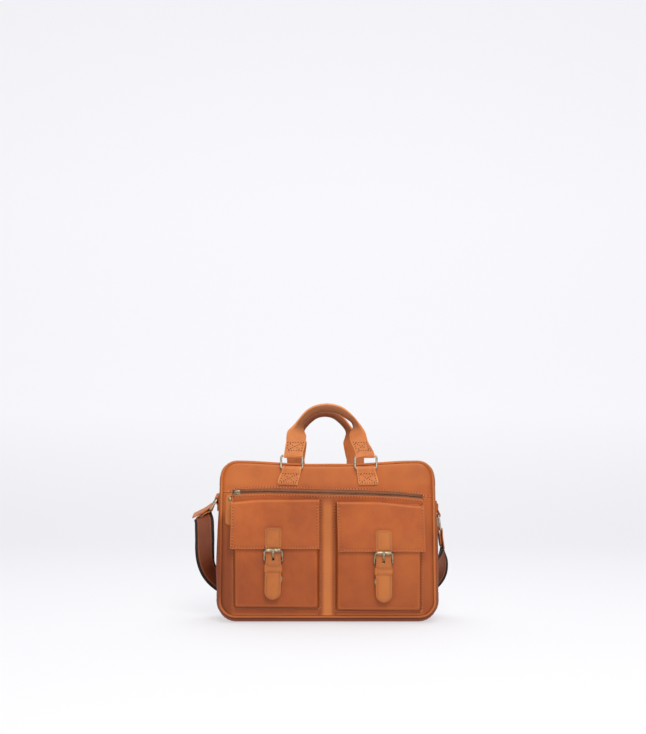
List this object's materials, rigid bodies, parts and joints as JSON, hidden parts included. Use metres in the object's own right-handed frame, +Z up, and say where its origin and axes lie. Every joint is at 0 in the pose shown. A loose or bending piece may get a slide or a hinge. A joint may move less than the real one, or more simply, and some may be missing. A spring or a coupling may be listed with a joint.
{
  "type": "leather briefcase",
  "caption": "Soft leather laptop bag with two buckled flap pockets, a front zip pocket, a top zip, a pair of carrying handles on rings and a webbing shoulder strap.",
  "frame": {"origin": "middle of the bag's flat underside, on the floor", "axes": "+X to the bag's right as seen from the front, +Y from the front with the pockets to the back, +Z up"},
  "size_m": [0.4931, 0.1928, 0.4048],
  "materials": {
    "tan_leather": "pull-up leather, softly grained, satin",
    "light_leather": "thick strap leather, satin",
    "antique_metal": "antique nickel, worn to bright metal on the edges",
    "zip_fabric": "woven zip tape",
    "black_webbing": "woven webbing",
    "lining_fabric": "plain woven lining",
    "board": "fibre board"
  },
  "bodies": {
    "bag": {"front_panel": "tan_leather", "front_panel_top": "tan_leather", "back_panel": "tan_leather", "bottom_gusset": "tan_leather", "left_gusset": "tan_leather", "right_gusset": "tan_leather", "top_gusset": "tan_leather", "front_piping": "tan_leather", "rear_piping": "tan_leather", "lining": "lining_fabric", "base_board": "board", "laptop_divider": "lining_fabric", "front_zip_tape": "zip_fabric", "front_zip_chain": "antique_metal", "front_zip_pocket_bag": "lining_fabric", "main_zip_chain": "zip_fabric", "pocket_left": "tan_leather", "pocket_right": "tan_leather", "snap_female_left": "antique_metal", "snap_female_right": "antique_metal", "front_chape_left": "light_leather", "front_chape_right": "light_leather", "rear_chape_left": "light_leather", "rear_chape_right": "light_leather", "side_tab_left": "light_leather", "side_tab_right": "light_leather", "shoulder_webbing": "black_webbing", "shoulder_leather": "tan_leather", "strap_adjuster": "antique_metal"},
    "flap_left_fold": {"flap_fold_left": "tan_leather"},
    "flap_left_body": {"flap_left": "tan_leather", "closure_strap_left": "light_leather", "buckle_frame_left": "antique_metal", "strap_keeper_left": "light_leather", "snap_male_left": "antique_metal"},
    "buckle_roller_left_body": {"buckle_roller_left": "antique_metal"},
    "buckle_prong_left_body": {"buckle_prong_left": "antique_metal"},
    "flap_right_fold": {"flap_fold_right": "tan_leather"},
    "flap_right_body": {"flap_right": "tan_leather", "closure_strap_right": "light_leather", "buckle_frame_right": "antique_metal", "strap_keeper_right": "light_leather", "snap_male_right": "antique_metal"},
    "buckle_roller_right_body": {"buckle_roller_right": "antique_metal"},
    "buckle_prong_right_body": {"buckle_prong_right": "antique_metal"},
    "front_zip_slider_body": {"front_zip_slider": "antique_metal"},
    "front_zip_pull_body": {"front_zip_pull": "light_leather", "front_zip_pull_rivet": "antique_metal"},
    "main_zip_slider_body": {"main_zip_slider": "antique_metal"},
    "main_zip_pull_body": {"main_zip_pull": "light_leather"},
    "front_rings": {"front_ring_left": "antique_metal", "front_ring_right": "antique_metal"},
    "front_handle_body": {"front_handle": "light_leather"},
    "rear_rings": {"rear_ring_left": "antique_metal", "rear_ring_right": "antique_metal"},
    "rear_handle_body": {"rear_handle": "light_leather"},
    "side_ring_left_body": {"side_ring_left": "antique_metal", "strap_loop_left": "light_leather"},
    "side_ring_right_body": {"side_ring_right": "antique_metal", "strap_loop_right": "light_leather"}
  },
  "joints": [
    {"name": "flap_left_fold_hinge", "type": "hinge", "parent": "bag", "child": "flap_left_fold", "pos_m": [0, -0.0535, 0.2285], "axis": [-1, 0, 0], "range_deg": [0, 80]},
    {"name": "flap_left_crease_hinge", "type": "hinge", "parent": "flap_left_fold", "child": "flap_left_body", "pos_m": [0, -0.077, 0.2285], "axis": [-1, 0, 0], "range_deg": [0, 70]},
    {"name": "buckle_roller_left_spin", "type": "hinge", "parent": "flap_left_body", "child": "buckle_roller_left_body", "pos_m": [-0.0985, -0.0838, 0.137], "axis": [1, 0, 0], "continuous": true},
    {"name": "buckle_prong_left_hinge", "type": "hinge", "parent": "flap_left_body", "child": "buckle_prong_left_body", "pos_m": [-0.0985, -0.0736, 0.1165], "axis": [1, 0, 0], "range_deg": [0, 50]},
    {"name": "flap_right_fold_hinge", "type": "hinge", "parent": "bag", "child": "flap_right_fold", "pos_m": [0, -0.0535, 0.2235], "axis": [-1, 0, 0], "range_deg": [0, 80]},
    {"name": "flap_right_crease_hinge", "type": "hinge", "parent": "flap_right_fold", "child": "flap_right_body", "pos_m": [0, -0.077, 0.2235], "axis": [-1, 0, 0], "range_deg": [0, 70]},
    {"name": "buckle_roller_right_spin", "type": "hinge", "parent": "flap_right_body", "child": "buckle_roller_right_body", "pos_m": [0.102, -0.0838, 0.132], "axis": [1, 0, 0], "continuous": true},
    {"name": "buckle_prong_right_hinge", "type": "hinge", "parent": "flap_right_body", "child": "buckle_prong_right_body", "pos_m": [0.102, -0.0736, 0.1115], "axis": [1, 0, 0], "range_deg": [0, 50]},
    {"name": "front_zip_slide", "type": "slide", "parent": "bag", "child": "front_zip_slider_body", "axis": [0.9997, 0, -0.0242], "range_m": [0, 0.332]},
    {"name": "front_zip_pull_hinge", "type": "hinge", "parent": "front_zip_slider_body", "child": "front_zip_pull_body", "pos_m": [-0.1799, -0.054, 0.2365], "axis": [-1, 0, 0], "range_deg": [0, 150], "deforming": ["front_zip_pull", "front_zip_pull_rivet"]},
    {"name": "main_zip_slide", "type": "slide", "parent": "bag", "child": "main_zip_slider_body", "axis": [1, 0, 0], "range_m": [0, 0.284]},
    {"name": "main_zip_pull_hinge", "type": "hinge", "parent": "main_zip_slider_body", "child": "main_zip_pull_body", "pos_m": [-0.136, 0, 0.2933], "axis": [0, -1, 0], "range_deg": [0, 150]},
    {"name": "front_rings_hinge", "type": "hinge", "parent": "bag", "child": "front_rings", "pos_m": [0.0025, -0.0569, 0.2847], "axis": [-1, 0, 0], "range_deg": [-90, 8]},
    {"name": "front_handle_hinge", "type": "hinge", "parent": "front_rings", "child": "front_handle_body", "pos_m": [0.0025, -0.0569, 0.3093], "axis": [-1, 0, 0], "range_deg": [-75, 20]},
    {"name": "rear_rings_hinge", "type": "hinge", "parent": "bag", "child": "rear_rings", "pos_m": [-0.003, 0.0569, 0.2687], "axis": [-1, 0, 0], "range_deg": [0, 90]},
    {"name": "rear_handle_hinge", "type": "hinge", "parent": "rear_rings", "child": "rear_handle_body", "pos_m": [-0.003, 0.0569, 0.2933], "axis": [-1, 0, 0], "range_deg": [-4, 75]},
    {"name": "side_ring_left_hinge", "type": "hinge", "parent": "bag", "child": "side_ring_left_body", "pos_m": [-0.2077, 0, 0.231], "axis": [0, 0.9781, 0.2079], "range_deg": [0, 20]},
    {"name": "side_ring_right_hinge", "type": "hinge", "parent": "bag", "child": "side_ring_right_body", "pos_m": [0.2077, 0, 0.197], "axis": [0, -1, 0], "range_deg": [0, 20], "deforming": ["shoulder_webbing", "shoulder_leather"]}
  ],
  "couplings": [
    {"joint": "flap_left_crease_hinge", "follows": "flap_left_fold_hinge", "ratio": 0.875},
    {"joint": "flap_right_crease_hinge", "follows": "flap_right_fold_hinge", "ratio": 0.875},
    {"joint": "front_zip_pull_hinge", "follows": "front_zip_slide", "rad_per_m": 7.8776},
    {"joint": "main_zip_pull_hinge", "follows": "main_zip_slide", "rad_per_m": 9.2091}
  ]
}
